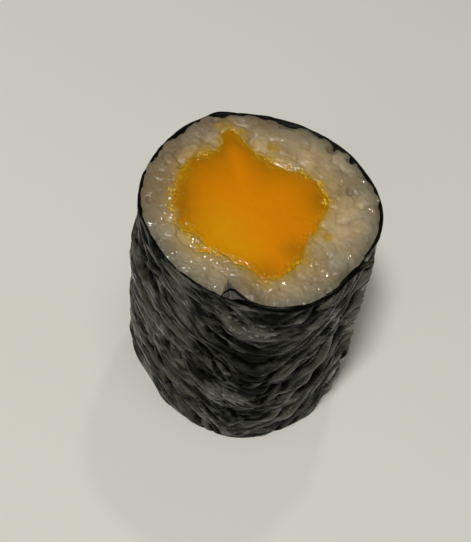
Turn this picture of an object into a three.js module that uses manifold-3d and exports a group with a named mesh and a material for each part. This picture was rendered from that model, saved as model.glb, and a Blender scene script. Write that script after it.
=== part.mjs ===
// One piece of mango hosomaki, standing on a cut face: a stick of ripe mango runs through pressed
// sushi rice, and one sheet of nori is wrapped round both, its first edge tucked in under its last.
// Millimetres, +Z up. The origin is the middle of the cut face that the piece stands on, and the
// front, where the sheet's tucked edge shows, faces -Y.
import * as THREE from "three";
import { mergeVertices } from "three/addons/utils/BufferGeometryUtils.js";
import Module from "manifold-3d";

// The roll and its two cuts.
const PIECE_HEIGHT = 31.2; // a 190 mm roll cut in six, less the saw of the knife
const TOP_RADIUS = 14.0; // outside the nori
const BASE_RADIUS = 13.45; // the foot is pressed a little narrower
const TOP_LEAN = { x: -1.6, y: -0.2 }; // how far the top's middle stands from the base's
const CUT_SLOPE = { x: -0.034, y: -0.018 }; // rise of the upper cut for each millimetre
const BELLIES = [
  { angle: 190, width: 60, size: 0.95 },
  { angle: -12, width: 30, size: 0.35 },
];
const BELLY_SHAPE = 0.65; // under 1 puts the fullest place below half height

// The outline's slow waves, and dents (negative) or swellings at each end: angles in degrees.
const LOBES = [
  { order: 3, size: 0.19, angle: 34 },
  { order: 4, size: 0.2, angle: 26 },
  { order: 6, size: 0.08, angle: 7 },
];
const TOP_DENTS = [
  { angle: -34, width: 8, size: -0.25 },
  { angle: -69, width: 9, size: 0.25 },
  { angle: 64, width: 20, size: 0.15 },
  { angle: 122, width: 5, size: 0.35 },
];
const BASE_DENTS = [
  { angle: -4, width: 9, size: 0.5 },
  { angle: -58, width: 14, size: -0.3 },
  { angle: -88, width: 16, size: 0.35 },
  { angle: -127, width: 8, size: 0.3 },
  { angle: -164, width: 12, size: 0.9 },
];

// The nori, half a standard sheet of 210 x 190 mm, wrapped with an overlap.
const SHEET_LENGTH = 105;
const SHEET_THICKNESS = 0.25;
const SHEET_START = -99; // degrees, where the tucked edge is
const LAYER_GAP = 0.12; // between the two layers of the overlap
const TUCK = { depth: 1.9, sweep: 15, curl: 1.3 }; // how far the tucked edge runs into the rice
const TUCK_CLOSE = 8; // degrees in which the rice closes up against the tucked edge
const RISE_SWEEP = 16; // degrees in which the sheet comes out from under its last edge
const LAST_EDGE_LIFT = { size: 0.3, sweep: 6 };
const RIM_FOLD = { angle: 87, width: 5, size: 0.55, share: 0.12 }; // nori doubled inwards at the back
const SHEET_COLUMNS = 70;
const SHEET_ROWS = 30;
const SHEET_INNER_ROWS = 5;

// The wrinkles of the damp sheet: short folds that run mostly round the roll.
const FOLDS = {
  seed: 61,
  count: 150,
  halfLength: [3, 7],
  halfWidth: [0.6, 0.95],
  height: [0.25, 0.6],
  slope: 20, // degrees, either way
  bend: 0.012, // sideways millimetres for each millimetre along, squared
  most: 0.75, // where folds cross, their sum stays under this
  edgeFade: 1.3, // they flatten out this close to a cut
  edgeShare: 0.15, // and keep this much of their height at it
};

// The mango stick, its cut outline round its own middle: sharp corners and the hollows between.
const MANGO_MIDDLE = { x: -1.4, y: -0.6 };
const MANGO_RADIUS = 7.45;
const MANGO_CORNERS = [
  { angle: 27, width: 23, size: 1.5 },
  { angle: 49, width: 8, size: 0.5 },
  { angle: 76, width: 24, size: -1.0 },
  { angle: 112, width: 8, size: 3.2 },
  { angle: 146, width: 100, size: 1.2 },
  { angle: 241, width: 7, size: 0.5 },
  { angle: 296, width: 19, size: 2.5 },
  { angle: 321, width: 10, size: 0.9 },
];
const GRAIN_PRINTS = { counts: [14, 23], size: 0.3 }; // small bites that the rice presses into the stick
const MANGO_TWIST = 14; // degrees between the two cut faces
const MANGO_COLUMNS = 80;
const MANGO_ROWS = 4;
const MANGO_EDGE = [
  { share: 1, drop: 0.45 },
  { share: 0.97, drop: 0.16 },
  { share: 0.88, drop: 0.04 },
];

// The rice: pressed grains, cut through by the knife at both faces, over a plain core.
const GRAIN = {
  length: [4.2, 5.8],
  width: [2.1, 2.6],
  height: [2.0, 2.4],
  depth: [0.55, 0.95], // of the grain's middle under the cut
  tilt: 14, // degrees, either way
  spacing: 2.3,
  margin: 0.75, // of a grain's middle from mango and nori
  tries: 3000,
};
const GRAIN_SIDES = { around: 6, along: 4 };
// Grains that stand out on the upper face: place of the middle, turn in degrees and length.
const SHOWN_GRAINS = [
  { x: -1.7, y: 9.0, turn: 80, length: 3.2 },
  { x: 2.0, y: 7.6, turn: -8, length: 5.0 },
  { x: -7.6, y: 8.6, turn: -30, length: 3.6 },
  { x: -7.5, y: -7.5, turn: 40, length: 3.4 },
  { x: -9.8, y: 4.6, turn: 60, length: 5.0 },
];
const CREVICE = 0.5; // how far the core lies under the cut
const RICE_COLUMNS = 72;
const RICE_ROWS = 4;
const CLEARANCE = 0.3; // between rice and nori, and rice and mango
const WELD = 1e-4; // points closer than this are one
const TOP_SEED = 7;
const BASE_SEED = 29;

const wasm = await Module();
wasm.setup();

const radians = (degrees) => (degrees * Math.PI) / 180;
const mix = (from, to, share) => from + (to - from) * share;
const smooth = (share) => {
  const t = Math.min(1, Math.max(0, share));
  return t * t * (3 - 2 * t);
};

// A seeded draw from 0 to 1, the same on every machine.
function makeRandom(seed) {
  let state = seed;
  return () => {
    state = (state * 16807) % 2147483647;
    return state / 2147483647;
  };
}

// The sum of bell-shaped dents and swellings at an angle in degrees.
function dents(list, angle) {
  let sum = 0;
  for (const { angle: middle, width, size } of list) {
    const away = ((((angle - middle + 180) % 360) + 360) % 360) - 180;
    sum += size * Math.exp(-((away / width) ** 2));
  }
  return sum;
}

// The outside of the wrapped roll, without wrinkles; height goes from 0 at the base to 1 at the top.
function rollRadius(angle, height) {
  let radius = mix(BASE_RADIUS, TOP_RADIUS, height);
  for (const lobe of LOBES) {
    radius += lobe.size * Math.cos(radians(lobe.order * (angle - lobe.angle)));
  }
  radius += dents(TOP_DENTS, angle) * height ** 2;
  radius += dents(BASE_DENTS, angle) * (1 - height) ** 2;
  return radius + dents(BELLIES, angle) * Math.sin(Math.PI * height ** BELLY_SHAPE);
}

// A point at a radius from the leaning axis. At height 1 it lies on the upper cut.
function rollPoint(radius, angle, height) {
  const x = TOP_LEAN.x * height + radius * Math.cos(radians(angle));
  const y = TOP_LEAN.y * height + radius * Math.sin(radians(angle));
  return new THREE.Vector3(x, y, cutHeight(x, y) * height);
}

// Height of the upper cut over a point.
function cutHeight(x, y) {
  return PIECE_HEIGHT + CUT_SLOPE.x * (x - TOP_LEAN.x) + CUT_SLOPE.y * (y - TOP_LEAN.y);
}

// A geometry from points and triangles that index them.
function geometryOf(points, triangles) {
  const geometry = new THREE.BufferGeometry().setFromPoints(points);
  geometry.setIndex(triangles);
  geometry.computeVertexNormals();
  return geometry;
}

// A closed solid through rings of points from the bottom up, each end closed by a fan to a middle.
function loft(rings, bottomMiddle, topMiddle) {
  const columns = rings[0].length;
  const last = rings.length - 1;
  const points = [...rings.flat(), bottomMiddle, topMiddle];
  const bottomIndex = points.length - 2;
  const topIndex = points.length - 1;
  const triangles = [];
  for (let column = 0; column < columns; column++) {
    const next = (column + 1) % columns;
    for (let row = 0; row < last; row++) {
      const a = row * columns + column;
      const b = row * columns + next;
      triangles.push(a, b, b + columns, a, b + columns, a + columns);
    }
    triangles.push(bottomIndex, next, column);
    triangles.push(topIndex, last * columns + column, last * columns + next);
  }
  return geometryOf(points, triangles);
}

function solidOf(geometry) {
  const bare = new THREE.BufferGeometry();
  bare.setAttribute("position", geometry.getAttribute("position"));
  bare.setIndex(geometry.index);
  const merged = mergeVertices(bare, WELD);
  const mesh = new wasm.Mesh({
    numProp: 3,
    vertProperties: new Float32Array(merged.attributes.position.array),
    triVerts: new Uint32Array(merged.index.array),
  });
  return new wasm.Manifold(mesh);
}

function geometryFrom(solid) {
  const mesh = solid.getMesh();
  const geometry = new THREE.BufferGeometry();
  geometry.setAttribute("position", new THREE.BufferAttribute(mesh.vertProperties, mesh.numProp));
  geometry.setIndex(new THREE.BufferAttribute(mesh.triVerts, 1));
  geometry.computeVertexNormals();
  return geometry;
}

// ---- nori ----

const DEGREE_LENGTH = radians(1) * ((TOP_RADIUS + BASE_RADIUS) / 2 - SHEET_THICKNESS / 2);
const SHEET_SWEEP = SHEET_LENGTH / DEGREE_LENGTH; // degrees from the tucked edge to the last one
const OVERLAP_SWEEP = SHEET_SWEEP - 360;

// How far the sheet's outer face lies inside the roll's outline after a sweep in degrees.
function sheetDepth(sweep) {
  const under = SHEET_THICKNESS + LAYER_GAP;
  const tuck = TUCK.depth * Math.max(0, 1 - sweep / TUCK.sweep) ** TUCK.curl;
  const comesOut = smooth((sweep - OVERLAP_SWEEP) / RISE_SWEEP);
  const lift = LAST_EDGE_LIFT.size * Math.exp((sweep - SHEET_SWEEP) / LAST_EDGE_LIFT.sweep);
  return under * (1 - comesOut) + tuck - lift;
}

// Nori is doubled inwards on a short stretch of the upper rim.
function sheetThickness(angle, height) {
  const atRim = smooth((height - 1 + RIM_FOLD.share) / RIM_FOLD.share);
  return SHEET_THICKNESS + dents([RIM_FOLD], angle) * atRim;
}

// Every fold of the sheet, its place in millimetres along the sheet and up it.
function makeFolds() {
  const random = makeRandom(FOLDS.seed);
  const between = ([low, high]) => mix(low, high, random());
  const folds = [];
  for (let i = 0; i < FOLDS.count; i++) {
    folds.push({
      along: SHEET_LENGTH * random(),
      up: PIECE_HEIGHT * random(),
      slope: radians(FOLDS.slope * (2 * random() - 1)),
      halfLength: between(FOLDS.halfLength),
      halfWidth: between(FOLDS.halfWidth),
      height: between(FOLDS.height),
      bend: FOLDS.bend * (2 * random() - 1),
    });
  }
  return folds;
}

// How far the wrinkled outer face stands out, at a place on the sheet.
function wrinkle(folds, along, up) {
  let sum = 0;
  for (const fold of folds) {
    const dx = along - fold.along;
    const dy = up - fold.up;
    const lengthwise = dx * Math.cos(fold.slope) + dy * Math.sin(fold.slope);
    const across = dy * Math.cos(fold.slope) - dx * Math.sin(fold.slope) - fold.bend * lengthwise ** 2;
    const taper = Math.exp(-((lengthwise / fold.halfLength) ** 2));
    sum += fold.height * taper * Math.exp(-((across / fold.halfWidth) ** 2));
  }
  const fromCut = Math.min(up, PIECE_HEIGHT - up);
  const shows = smooth((along / DEGREE_LENGTH - OVERLAP_SWEEP) / RISE_SWEEP);
  const fade = mix(FOLDS.edgeShare, 1, smooth(fromCut / FOLDS.edgeFade));
  return FOLDS.most * Math.tanh(sum / FOLDS.most) * fade * shows;
}

// One face of the sheet as columns of points from the tucked edge to the last one.
function sheetFace(rows, depthAt) {
  const face = [];
  for (let column = 0; column <= SHEET_COLUMNS; column++) {
    const sweep = (SHEET_SWEEP * column) / SHEET_COLUMNS;
    const angle = SHEET_START + sweep;
    const line = [];
    for (let row = 0; row <= rows; row++) {
      const height = row / rows;
      const radius = rollRadius(angle, height) - sheetDepth(sweep) - depthAt(angle, sweep, height);
      line.push(rollPoint(radius, angle, height));
    }
    face.push(line);
  }
  return face;
}

// Triangles between two lines of points that share their ends' places, whatever their counts.
function zip(lineA, lineB, triangles) {
  let a = 0;
  let b = 0;
  while (a < lineA.length - 1 || b < lineB.length - 1) {
    const shareA = (a + 1) / (lineA.length - 1);
    const shareB = (b + 1) / (lineB.length - 1);
    if (b === lineB.length - 1 || (a < lineA.length - 1 && shareA <= shareB)) {
      triangles.push(lineA[a], lineA[a + 1], lineB[b]);
      a++;
    } else {
      triangles.push(lineA[a], lineB[b + 1], lineB[b]);
      b++;
    }
  }
}

function noriSheet() {
  const folds = makeFolds();
  const standsOut = (angle, sweep, height) =>
    -wrinkle(folds, sweep * DEGREE_LENGTH, height * PIECE_HEIGHT);
  const outer = sheetFace(SHEET_ROWS, standsOut);
  const inner = sheetFace(SHEET_INNER_ROWS, (angle, sweep, height) => sheetThickness(angle, height));
  const points = [...outer.flat(), ...inner.flat()];
  const outerIndex = (column, row) => column * (SHEET_ROWS + 1) + row;
  const innerStart = outer.length * (SHEET_ROWS + 1);
  const innerIndex = (column, row) => innerStart + column * (SHEET_INNER_ROWS + 1) + row;
  const lineOf = (index, column, rows) => Array.from({ length: rows + 1 }, (_, row) => index(column, row));
  const rimOf = (index, row) => Array.from({ length: SHEET_COLUMNS + 1 }, (_, column) => index(column, row));
  const triangles = [];
  for (let column = 0; column < SHEET_COLUMNS; column++) {
    zip(lineOf(outerIndex, column + 1, SHEET_ROWS), lineOf(outerIndex, column, SHEET_ROWS), triangles);
    zip(
      lineOf(innerIndex, column, SHEET_INNER_ROWS),
      lineOf(innerIndex, column + 1, SHEET_INNER_ROWS),
      triangles,
    );
  }
  zip(rimOf(innerIndex, 0), rimOf(outerIndex, 0), triangles);
  zip(rimOf(outerIndex, SHEET_ROWS), rimOf(innerIndex, SHEET_INNER_ROWS), triangles);
  zip(lineOf(outerIndex, 0, SHEET_ROWS), lineOf(innerIndex, 0, SHEET_INNER_ROWS), triangles);
  zip(
    lineOf(innerIndex, SHEET_COLUMNS, SHEET_INNER_ROWS),
    lineOf(outerIndex, SHEET_COLUMNS, SHEET_ROWS),
    triangles,
  );
  return geometryOf(points, triangles);
}

// ---- mango ----

// The stick's radius round its own middle.
function mangoRadius(angle, height) {
  const turned = angle + MANGO_TWIST * (1 - height);
  let radius = MANGO_RADIUS + dents(MANGO_CORNERS, turned);
  for (const count of GRAIN_PRINTS.counts) {
    radius += GRAIN_PRINTS.size * (Math.abs(Math.sin(radians((count * turned) / 2))) - 0.5);
  }
  return radius;
}

function mangoMiddle(height) {
  const x = TOP_LEAN.x * height + MANGO_MIDDLE.x;
  const y = TOP_LEAN.y * height + MANGO_MIDDLE.y;
  return new THREE.Vector3(x, y, cutHeight(x, y) * height);
}

// A ring of the stick: grown outwards by a clearance, shrunk to a share, and lifted off its plane.
function mangoRing(height, { grow = 0, share = 1, lift = 0 } = {}) {
  const middle = mangoMiddle(height);
  const ring = [];
  for (let column = 0; column < MANGO_COLUMNS; column++) {
    const angle = (360 * column) / MANGO_COLUMNS;
    const radius = (mangoRadius(angle, height) + grow) * share;
    const x = middle.x + radius * Math.cos(radians(angle));
    const y = middle.y + radius * Math.sin(radians(angle));
    ring.push(new THREE.Vector3(x, y, cutHeight(x, y) * height + lift));
  }
  return ring;
}

function mangoStick() {
  const rings = [];
  for (const { share, drop } of [...MANGO_EDGE].reverse()) {
    rings.push(mangoRing(0, { share, lift: drop }));
  }
  for (let row = 1; row < MANGO_ROWS; row++) {
    rings.push(mangoRing(row / MANGO_ROWS));
  }
  for (const { share, drop } of MANGO_EDGE) {
    rings.push(mangoRing(1, { share, lift: -drop }));
  }
  // The face that it stands on is flat inside its rounded edge.
  for (const point of rings[0]) {
    point.z = 0;
  }
  return loft(rings, mangoMiddle(0), mangoMiddle(1));
}

// The hole that the stick leaves in the rice, past both cuts.
function mangoHole() {
  const overshoot = 2;
  const rings = [mangoRing(0, { grow: CLEARANCE, lift: -overshoot })];
  for (let row = 0; row <= MANGO_ROWS; row++) {
    rings.push(mangoRing(row / MANGO_ROWS, { grow: CLEARANCE }));
  }
  rings.push(mangoRing(1, { grow: CLEARANCE, lift: overshoot }));
  const down = mangoMiddle(0).setZ(-overshoot);
  const up = mangoMiddle(1);
  up.z += overshoot;
  return solidOf(loft(rings, down, up));
}

// ---- rice ----

// The rice fills the wrap up to whichever layer of nori lies innermost.
function riceRadius(angle, height) {
  const sweep = (((angle - SHEET_START) % 360) + 360) % 360;
  const endOfTurn = smooth(1 - (360 - sweep) / TUCK_CLOSE);
  const depth = mix(sheetDepth(sweep), sheetDepth(0), endOfTurn);
  return rollRadius(angle, height) - depth - sheetThickness(angle, height) - CLEARANCE;
}

// The body of rice, its two faces set in from the cuts and its side grown outwards.
function riceBody({ inset = 0, grow = 0 }) {
  const rings = [];
  for (let row = 0; row <= RICE_ROWS; row++) {
    const height = row / RICE_ROWS;
    const ring = [];
    for (let column = 0; column < RICE_COLUMNS; column++) {
      const angle = (360 * column) / RICE_COLUMNS;
      const point = rollPoint(riceRadius(angle, height) + grow, angle, height);
      point.z += mix(inset, -inset, height);
      ring.push(point);
    }
    rings.push(ring);
  }
  const bottom = rollPoint(0, 0, 0);
  const top = rollPoint(0, 0, 1);
  bottom.z += inset;
  top.z -= inset;
  return solidOf(loft(rings, bottom, top));
}

// Places of grains on one face, spread evenly by a seeded draw: those named first, then the rest.
function grainPlaces(seed, height, named) {
  const random = makeRandom(seed);
  const between = ([low, high]) => mix(low, high, random());
  const middle = mangoMiddle(height);
  const lean = rollPoint(0, 0, height);
  const places = [];
  const add = (x, y, turn, length) => {
    places.push({
      x,
      y,
      turn,
      length,
      width: between(GRAIN.width),
      height: between(GRAIN.height),
      depth: between(GRAIN.depth),
      tilt: GRAIN.tilt * (2 * random() - 1),
    });
  };
  for (const grain of named) {
    add(lean.x + grain.x, lean.y + grain.y, grain.turn, grain.length);
  }
  for (let i = 0; i < GRAIN.tries; i++) {
    const reach = TOP_RADIUS * Math.sqrt(random());
    const angle = 360 * random();
    const turn = 180 * random();
    const { x, y } = rollPoint(reach, angle, height);
    const fromMango = Math.hypot(x - middle.x, y - middle.y);
    const mangoAngle = (Math.atan2(y - middle.y, x - middle.x) * 180) / Math.PI;
    const clearOfMango = fromMango > mangoRadius(mangoAngle, height) + GRAIN.margin;
    const clearOfNori = reach < riceRadius(angle, height) - GRAIN.margin;
    const clearOfGrains = places.every((p) => Math.hypot(p.x - x, p.y - y) > GRAIN.spacing);
    if (clearOfMango && clearOfNori && clearOfGrains) {
      add(x, y, turn, between(GRAIN.length));
    }
  }
  return places;
}

// A short rounded grain lying under a cut; side is 1 under the upper cut and -1 over the base.
function grainSolid(place, side) {
  const geometry = new THREE.SphereGeometry(0.5, GRAIN_SIDES.around, GRAIN_SIDES.along);
  const surface = side > 0 ? cutHeight(place.x, place.y) : 0;
  const turn = new THREE.Euler(0, radians(place.tilt), radians(place.turn), "ZYX");
  const matrix = new THREE.Matrix4().compose(
    new THREE.Vector3(place.x, place.y, surface - side * place.depth),
    new THREE.Quaternion().setFromEuler(turn),
    new THREE.Vector3(place.length, place.width, place.height),
  );
  geometry.applyMatrix4(matrix);
  geometry.deleteAttribute("normal");
  geometry.deleteAttribute("uv");
  return solidOf(geometry);
}

function riceRing() {
  let rice = riceBody({ inset: CREVICE, grow: CLEARANCE });
  for (const place of grainPlaces(TOP_SEED, 1, SHOWN_GRAINS)) {
    rice = rice.add(grainSolid(place, 1));
  }
  for (const place of grainPlaces(BASE_SEED, 0, [])) {
    rice = rice.add(grainSolid(place, -1));
  }
  const ring = rice.intersect(riceBody({})).subtract(mangoHole());
  const [largest] = ring.decompose().sort((a, b) => b.volume() - a.volume());
  return geometryFrom(largest);
}

// ---- the piece ----

function makeMesh(name, geometry, color, roughness) {
  const material = new THREE.MeshStandardMaterial({ color, roughness, metalness: 0 });
  const mesh = new THREE.Mesh(geometry, material);
  mesh.name = name;
  return mesh;
}

const piece = new THREE.Group();
piece.name = "mango_hosomaki";
piece.add(makeMesh("nori", noriSheet(), 0x23251f, 0.5));
piece.add(makeMesh("rice", riceRing(), 0xd8cdb8, 0.4));
piece.add(makeMesh("mango", mangoStick(), 0xf0960a, 0.35));

export default piece;
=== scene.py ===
# %% [markdown]
# # One piece of mango hosomaki
#
# A hosomaki is a thin sushi roll. This piece stands on one of its cut faces: a stick of ripe mango
# in the middle, a ring of pressed rice round it, and a sheet of nori, dried seaweed, round both.
# The CAD model holds the sizes and the places. This script dresses it in what the eye sees: the
# crinkles of the damp sheet, the cut grains of rice, the wet flesh of the fruit.
#
# Lengths are in millimetres while shapes are worked out, and turn into Blender's metres at the
# moment when a mesh is made.

# %% Load the frame
import math

import bmesh
import bpy
import numpy as np
from mathutils import Matrix, Vector
from mathutils.bvhtree import BVHTree


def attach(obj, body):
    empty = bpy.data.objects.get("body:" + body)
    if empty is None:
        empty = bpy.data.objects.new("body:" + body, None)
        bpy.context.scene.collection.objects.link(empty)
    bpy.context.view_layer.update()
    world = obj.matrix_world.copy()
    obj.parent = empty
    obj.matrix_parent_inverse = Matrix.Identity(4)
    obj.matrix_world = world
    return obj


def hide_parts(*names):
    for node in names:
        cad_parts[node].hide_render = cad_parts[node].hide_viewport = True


MM = 0.001
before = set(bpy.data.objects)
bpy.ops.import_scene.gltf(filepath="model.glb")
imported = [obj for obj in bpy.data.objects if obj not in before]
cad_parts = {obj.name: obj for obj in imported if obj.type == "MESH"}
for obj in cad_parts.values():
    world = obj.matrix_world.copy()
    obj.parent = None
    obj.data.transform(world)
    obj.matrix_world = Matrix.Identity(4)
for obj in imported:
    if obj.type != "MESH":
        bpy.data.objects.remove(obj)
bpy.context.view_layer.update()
print("CAD nodes:", sorted(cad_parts))

# %% [markdown]
# ## The camera
#
# The photo looks down on the piece from about 55 degrees, with a long lens and the hand a little
# turned, so that the piece leans clockwise in the picture. The numbers come from fitting the upper
# rim and the foot of the roll. The camera comes first, because every later look is judged by it.

# %% Place the camera
AIM = Vector((-2.86, 0.96, 15.58))
DISTANCE = 139.3
ELEVATION = math.radians(54.74)
TURN = math.radians(13.0)
FIELD = math.radians(24.0)  # across the width of the photo

forward = Vector((0, math.cos(ELEVATION), -math.sin(ELEVATION)))
level = Vector((1, 0, 0))
upright = level.cross(forward)
right = level * math.cos(TURN) + upright * math.sin(TURN)
up = upright * math.cos(TURN) - level * math.sin(TURN)

lens = bpy.data.cameras.new("camera")
lens.sensor_fit = "HORIZONTAL"
lens.angle = FIELD
lens.clip_start = 0.001
camera = bpy.data.objects.new("camera", lens)
camera.matrix_world = Matrix((right, up, -forward)).transposed().to_4x4()
camera.location = (AIM - forward * DISTANCE) * MM
bpy.context.scene.collection.objects.link(camera)
bpy.context.scene.camera = camera
print("camera at", [round(c, 4) for c in camera.location])

# %% [markdown]
# ## Small tools for shapes
#
# The surfaces here are grids of points, worked out by numpy all at once, and handed to Blender as
# one mesh. Four helpers come up everywhere: a mix, a soft step, a bell, and clouds, which are
# smooth random hills of a given size. Every random draw has a seed, so that each run gives the
# same roll.


# %% Soft steps and clouds
def mix(low, high, share):
    return low + (high - low) * share


def soft_step(share):
    t = np.clip(share, 0, 1)
    return t * t * (3 - 2 * t)


def bell(distance):
    return np.exp(-(distance**2))


TABLE = 64  # random numbers along each side of a table, after which they repeat


def clouds(x, y, size, seed):
    """Smooth random hills from -1 to 1, about one size apart."""
    table = np.random.default_rng(seed).uniform(-1, 1, (TABLE, TABLE))
    column, row = np.floor(x / size).astype(int), np.floor(y / size).astype(int)
    tx, ty = soft_step(x / size - column), soft_step(y / size - row)
    near = mix(table[column % TABLE, row % TABLE], table[(column + 1) % TABLE, row % TABLE], tx)
    row = row + 1
    far = mix(table[column % TABLE, row % TABLE], table[(column + 1) % TABLE, row % TABLE], tx)
    return mix(near, far, ty)


def rough_clouds(x, y, size, seed, layers=3):
    """Clouds with smaller and fainter clouds on top."""
    return sum(clouds(x, y, size / 2**k, seed + k) / 2**k for k in range(layers))


print("clouds span", clouds(np.arange(9.0), np.zeros(9), 2.0, 1).round(2))


# %% Hand a mesh to Blender
def make_piece(name, points, faces, stands_for, values=None):
    """A smooth mesh from points in millimetres, with named numbers on its points."""
    mesh = bpy.data.meshes.new(name)
    mesh.from_pydata((points * MM).tolist(), [], faces)
    mesh.shade_smooth()
    for key, numbers in (values or {}).items():
        kind, field = ("FLOAT_VECTOR", "vector") if numbers.shape[-1] == 3 else ("FLOAT", "value")
        layer = mesh.attributes.new(key, kind, "POINT")
        layer.data.foreach_set(field, np.ascontiguousarray(numbers, np.float32).ravel())
    piece = bpy.data.objects.new(name, mesh)
    bpy.context.scene.collection.objects.link(piece)
    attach(piece, "root")
    if stands_for:
        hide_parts(stands_for)
    mesh.calc_loop_triangles()
    print(name, "has", len(mesh.loop_triangles), "triangles, top at", points[:, 2].max().round(2), "mm")
    return piece


def grid_faces(columns, rows, closed_columns=False, closed_rows=False, first=0):
    """Quads over a grid of points that is stored column by column."""
    i = np.arange(columns if closed_columns else columns - 1)[:, None]
    j = np.arange(rows if closed_rows else rows - 1)[None, :]
    next_i, next_j = (i + 1) % columns, (j + 1) % rows
    corners = (i * rows + j, i * rows + next_j, next_i * rows + next_j, next_i * rows + j)
    return (np.stack(corners, -1).reshape(-1, 4) + first).tolist()


# %% [markdown]
# ## The roll's own coordinates
#
# The piece leans a little and its upper cut isn't quite level. So places are given as an angle
# round the leaning axis, a radius, and a height from 0 at the foot to 1 at the upper cut. A ray cast
# against the CAD solid, along the sloping plane of one height, finds how far out the solid reaches.
# That keeps every piece here on the form that was packed.

# %% Places and rays
HEIGHT = 31.2
TOP_LEAN = np.array([-1.6, -0.2])  # how far the axis has moved sideways at the upper cut
CUT_SLOPE = np.array([-0.034, -0.018])  # rise of the upper cut for each millimetre along x and y
FAR = 30.0  # rays begin or end this far from the axis


def place(x, y, height):
    """The point over x and y that lies on the sloping plane of a height."""
    cut = HEIGHT + CUT_SLOPE[0] * (x - TOP_LEAN[0]) + CUT_SLOPE[1] * (y - TOP_LEAN[1])
    return np.stack([x, y, cut * height], -1)


def solid_of(node):
    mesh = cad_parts[node].data
    corners = [v.co / MM for v in mesh.vertices]
    return BVHTree.FromPolygons(corners, [tuple(p.vertices) for p in mesh.polygons])


def reach(solid, middle, angle, height, inwards=False):
    """How far from a middle the solid's first face lies, in a direction on the plane of a height."""
    way = np.array([math.cos(angle), math.sin(angle)])
    start = place(*(middle + way * FAR), height) if inwards else place(*middle, height)
    end = place(*middle, height) if inwards else place(*(middle + way * FAR), height)
    hit = solid.ray_cast(Vector(start), Vector(end - start))[0]
    return float(np.hypot(hit.x - middle[0], hit.y - middle[1]))


nori_solid = solid_of("nori")
mango_solid = solid_of("mango")
print("right side of the nori at half height:", round(reach(nori_solid, TOP_LEAN / 2, 0.0, 0.5, True), 2))

# %% [markdown]
# ## The nori
#
# Nori is pressed seaweed, a quarter of a millimetre thick and stiff when dry. Against damp rice it
# swells, and since the rice holds it back it buckles into short slanting folds round the roll:
# dull facets with sharp dark creases between them, and here and there a lip that stands up.
#
# It could be done with a bump map alone, but the outline of the roll shows the folds too. So the
# sheet is a real grid, unrolled: one direction runs along the 105 mm of the sheet and the other up
# the roll. The outer face takes its radius from the CAD solid and adds the fine creases. The sheet
# starts tucked into the rice, goes once round, and ends over its own beginning.

# %% Lay out the sheet
SHEET_START = -99.0  # degrees from +X to the tucked edge
SHEET_LENGTH = 105.0
MEAN_RADIUS = 13.6
SHEET_SWEEP = math.degrees(SHEET_LENGTH / MEAN_RADIUS)
OVERLAP_SWEEP = SHEET_SWEEP - 360
SHEET_THICKNESS = 0.25
SHEET_COLUMNS = 356
SHEET_ROWS = 252
FINE_FROM = OVERLAP_SWEEP - 4  # before this the sheet lies under its last lap
HIDDEN_COLUMNS = 30  # and needs few columns

hidden_part = np.linspace(0, FINE_FROM, HIDDEN_COLUMNS, endpoint=False)
shown_part = np.linspace(FINE_FROM, SHEET_SWEEP, SHEET_COLUMNS + 1 - HIDDEN_COLUMNS)
sweeps = np.concatenate([hidden_part, shown_part])
heights = np.linspace(0, 1, SHEET_ROWS + 1)


def sheet_radius(sweep, height):
    """The outer face of the sheet in the CAD solid, one layer or the other."""
    middle = TOP_LEAN * height
    angle = math.radians(SHEET_START + sweep)
    if sweep < OVERLAP_SWEEP:
        return reach(nori_solid, middle, angle, height) + SHEET_THICKNESS
    return reach(nori_solid, middle, angle, height, inwards=True)


EDGE = 0.003  # rays keep this share of the height away from the two cuts
cast_heights = np.clip(heights, EDGE, 1 - EDGE)
sheet = np.array([[sheet_radius(s, h) for h in cast_heights] for s in sweeps])
print("radius of the sheet:", sheet.min().round(2), "to", sheet.max().round(2))


# %% Take the CAD facets out of it
def blur(values, passes):
    """Average each point with its four neighbours, again and again."""
    for _ in range(passes):
        padded = np.pad(values, 1, mode="edge")
        sides = padded[:-2, 1:-1] + padded[2:, 1:-1] + padded[1:-1, :-2] + padded[1:-1, 2:]
        values = (values + sides / 4) / 2
    return values


first_outer = int(np.searchsorted(sweeps, OVERLAP_SWEEP))
sheet = np.concatenate([blur(sheet[:first_outer], 2), blur(sheet[first_outer:], 8)])
step = sheet[first_outer] - sheet[first_outer - 1]
JOIN = 12  # columns in which the small step between the two casts is shared out
share = np.linspace(0, 1, JOIN)[:, None] ** 2
sheet[first_outer : first_outer + JOIN] -= share[::-1] * step
print("step where the casts meet:", np.abs(step).max().round(3), "mm")


# %% [markdown]
# The crinkles are flat facets that meet in sharp edges, as in crumpled paper. A net of slanting
# lines covers the sheet, and every crossing gets a random height. Between them each half diamond
# is a flat triangle. The lines lean 25 to 36 degrees from the hoop, so the triangles come out
# longer than high. Nets of three sizes are laid over each other. Clouds bend them first, and so
# does the run of the real folds, which hang down at the front and climb towards the last edge.
#
# What lies lower than its surroundings is then pushed in further, because a damp sheet folds
# hardest where it has begun to fold. That makes narrow black crevices between wide facets.


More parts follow.
